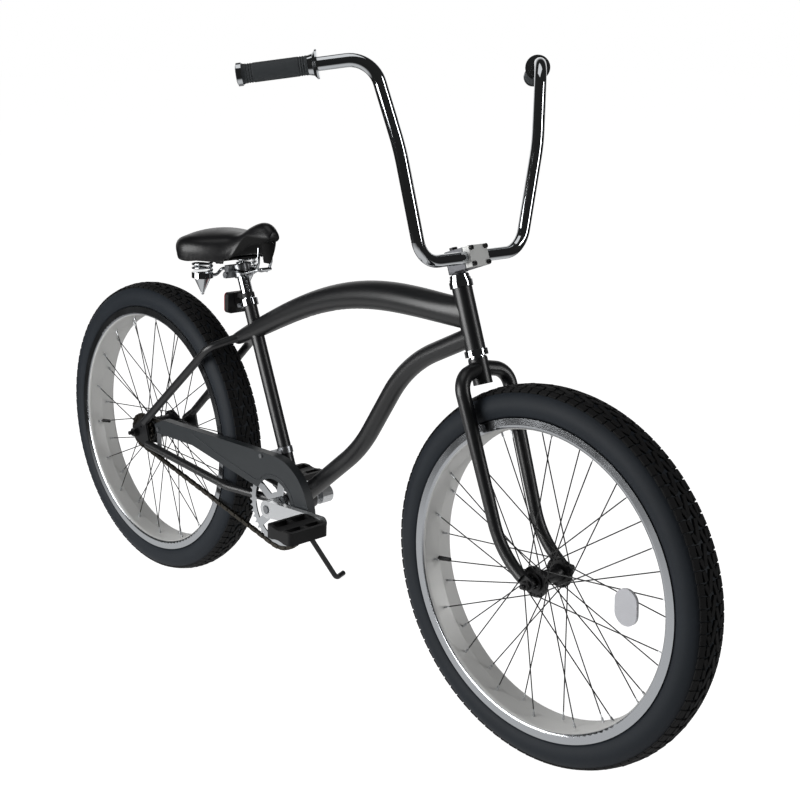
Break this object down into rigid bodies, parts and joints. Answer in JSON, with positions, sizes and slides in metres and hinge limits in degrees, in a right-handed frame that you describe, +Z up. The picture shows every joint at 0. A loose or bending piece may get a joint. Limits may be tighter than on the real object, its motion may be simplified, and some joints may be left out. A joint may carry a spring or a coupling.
{
  "type": "beach cruiser bicycle",
  "caption": "Beach cruiser bicycle: bowed frame, fat tyres, tall U-shaped handlebar, sprung saddle, chain guard, coaster brake and side stand.",
  "frame": {"origin": "on the ground at the middle of the bounding box's footprint", "axes": "+X forward, the way the bicycle rides, +Y to the rider's left, +Z up"},
  "size_m": [1.8548, 0.7529, 1.2263],
  "materials": {
    "frame_paint": "satin black",
    "guard_paint": "satin charcoal",
    "stand_paint": "black",
    "chrome": "polished",
    "steel": "zinc plated",
    "alloy": "polished",
    "rim": "frosted silver",
    "black_spokes": "black",
    "tyre": "matt",
    "rubber": "matt",
    "black_plastic": "moulded",
    "saddle_vinyl": "stitched vinyl",
    "reflector": "clear prismatic"
  },
  "bodies": {
    "frame": {"head_tube": "frame_paint", "top_tube": "frame_paint", "down_tube": "frame_paint", "seat_tube": "frame_paint", "bottom_bracket_shell": "frame_paint", "seat_stays": "frame_paint", "chain_stays": "frame_paint", "rear_dropouts": "frame_paint", "headset_cups": "chrome", "frame_bearings": "steel", "seat_clamp": "chrome", "frame_screws": "steel", "chain_guard": "guard_paint", "guard_brackets": "steel", "bottom_bracket_cups": "steel", "rear_axle": "steel", "rear_axle_nuts": "chrome", "brake_arm": "steel", "kickstand_bracket": "steel", "chain": "steel"},
    "fork": {"fork_steerer": "frame_paint", "fork_blades": "frame_paint", "headset_races": "chrome", "front_axle": "steel", "front_axle_nuts": "chrome"},
    "stem": {"stem": "chrome", "stem_faceplate": "chrome", "stem_bolts": "steel"},
    "handlebar": {"handlebar": "chrome", "grips": "rubber", "grip_rings": "chrome"},
    "front_wheel": {"front_tyre": "tyre", "front_inner_tube": "rubber", "front_rim": "rim", "front_spokes": "black_spokes", "front_hub": "alloy", "front_hub_bearings": "steel", "spoke_reflector": "reflector"},
    "rear_wheel": {"rear_tyre": "tyre", "rear_inner_tube": "rubber", "rear_rim": "rim", "rear_spokes": "black_spokes", "rear_hub": "steel", "rear_hub_bearings": "steel"},
    "sprocket": {"rear_sprocket": "steel"},
    "cranks": {"crank_arms": "alloy", "crank_spindle": "steel", "chainring": "alloy", "crank_bolts": "steel", "pedal_spindles": "steel"},
    "right_pedal": {"pedal_right": "black_plastic"},
    "left_pedal": {"pedal_left": "black_plastic"},
    "side_stand": {"kickstand_leg": "stand_paint"},
    "seat": {"seatpost": "chrome", "saddle_clamp": "steel", "saddle_rails": "chrome", "saddle_springs": "chrome", "rear_reflector": "black_plastic"},
    "saddle": {"saddle_cover": "saddle_vinyl", "saddle_pan": "black_plastic"}
  },
  "joints": [
    {"name": "steering", "type": "hinge", "parent": "frame", "child": "fork", "pos_m": [0.3739, -0.01728, 0.76177], "axis": [-0.3518, 0.0402, 0.9352], "range_deg": [-80, 80]},
    {"name": "stem_height", "type": "slide", "parent": "fork", "child": "stem", "axis": [-0.3518, 0.0402, 0.9352], "range_m": [0, 0.03]},
    {"name": "bar_tilt", "type": "hinge", "parent": "stem", "child": "handlebar", "pos_m": [0.37711, -0.01252, 0.87248], "axis": [0, 0.9991, -0.0429], "range_deg": [-20, 20]},
    {"name": "front_wheel_spin", "type": "hinge", "parent": "fork", "child": "front_wheel", "pos_m": [0.587, -0.03539, 0.34015], "axis": [0, 0.9991, -0.0429], "continuous": true},
    {"name": "rear_wheel_spin", "type": "hinge", "parent": "frame", "child": "rear_wheel", "pos_m": [-0.587, -0.03539, 0.34015], "axis": [0, 0.9991, -0.0429], "continuous": true},
    {"name": "crank_spin", "type": "hinge", "parent": "frame", "child": "cranks", "pos_m": [-0.09047, -0.03747, 0.2918], "axis": [0, 0.9991, -0.0429], "continuous": true, "deforming": ["chain"]},
    {"name": "sprocket_spin", "type": "hinge", "parent": "frame", "child": "sprocket", "pos_m": [-0.587, -0.03539, 0.34015], "axis": [0, 0.9991, -0.0429], "continuous": true},
    {"name": "right_pedal_spin", "type": "hinge", "parent": "cranks", "child": "right_pedal", "pos_m": [0.07362, -0.1716, 0.31482], "axis": [0, 0.9991, -0.0429], "continuous": true},
    {"name": "left_pedal_spin", "type": "hinge", "parent": "cranks", "child": "left_pedal", "pos_m": [-0.25457, 0.09667, 0.26877], "axis": [0, 0.9991, -0.0429], "continuous": true},
    {"name": "stand_fold", "type": "hinge", "parent": "frame", "child": "side_stand", "pos_m": [-0.33047, 0.04827, 0.30713], "axis": [0.029, 0.9168, 0.3984], "range_deg": [0, 108.7]},
    {"name": "seat_height", "type": "slide", "parent": "frame", "child": "seat", "axis": [-0.3827, 0.0397, 0.923], "range_m": [0, 0.06]},
    {"name": "saddle_bounce", "type": "hinge", "parent": "seat", "child": "saddle", "pos_m": [-0.20282, -0.01701, 0.768], "axis": [0, 0.9991, -0.0429], "range_deg": [-3, 0], "stiffness_Nm_per_rad": 900, "deforming": ["saddle_springs"]}
  ],
  "couplings": [
    {"joint": "sprocket_spin", "follows": "crank_spin", "ratio": 2.4444}
  ]
}
